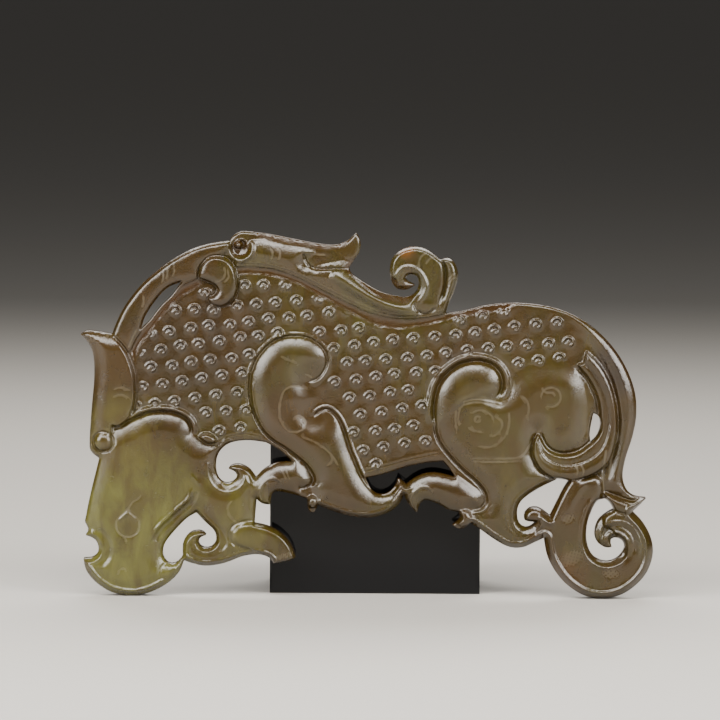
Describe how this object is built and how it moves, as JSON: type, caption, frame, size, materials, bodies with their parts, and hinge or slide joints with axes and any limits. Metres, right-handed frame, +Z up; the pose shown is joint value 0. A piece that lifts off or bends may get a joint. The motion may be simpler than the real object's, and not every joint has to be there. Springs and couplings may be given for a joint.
{
  "type": "carved jade figurine on a display block",
  "caption": "Openwork carved jade plaque of a crouching horned beast, standing upright in front of a black acrylic display block that holds it with putty pads.",
  "frame": {"origin": "middle of the footprint, on the surface that the plaque and the block stand on", "axes": "+X along the beast from its head to its tail, -Y out of the face of the plaque towards the viewer, +Z up"},
  "size_m": [0.1144, 0.0336, 0.0731],
  "materials": {
    "jade": "polished nephrite, waxy gloss, yellow-green at the head running to olive brown",
    "black_acrylic": "flame-polished black acrylic, mirror gloss",
    "putty": "matt, thumb-pressed museum putty"
  },
  "bodies": {
    "stand": {"display_block": "black_acrylic", "putty_pad_left": "putty", "putty_pad_right": "putty", "putty_pad_low": "putty"},
    "plaque": {"jade_plaque": "jade"}
  },
  "joints": [
    {"name": "plaque_lift_off", "type": "slide", "parent": "stand", "child": "plaque", "axis": [0, -1, 0], "range_m": [0, 0.06]}
  ]
}
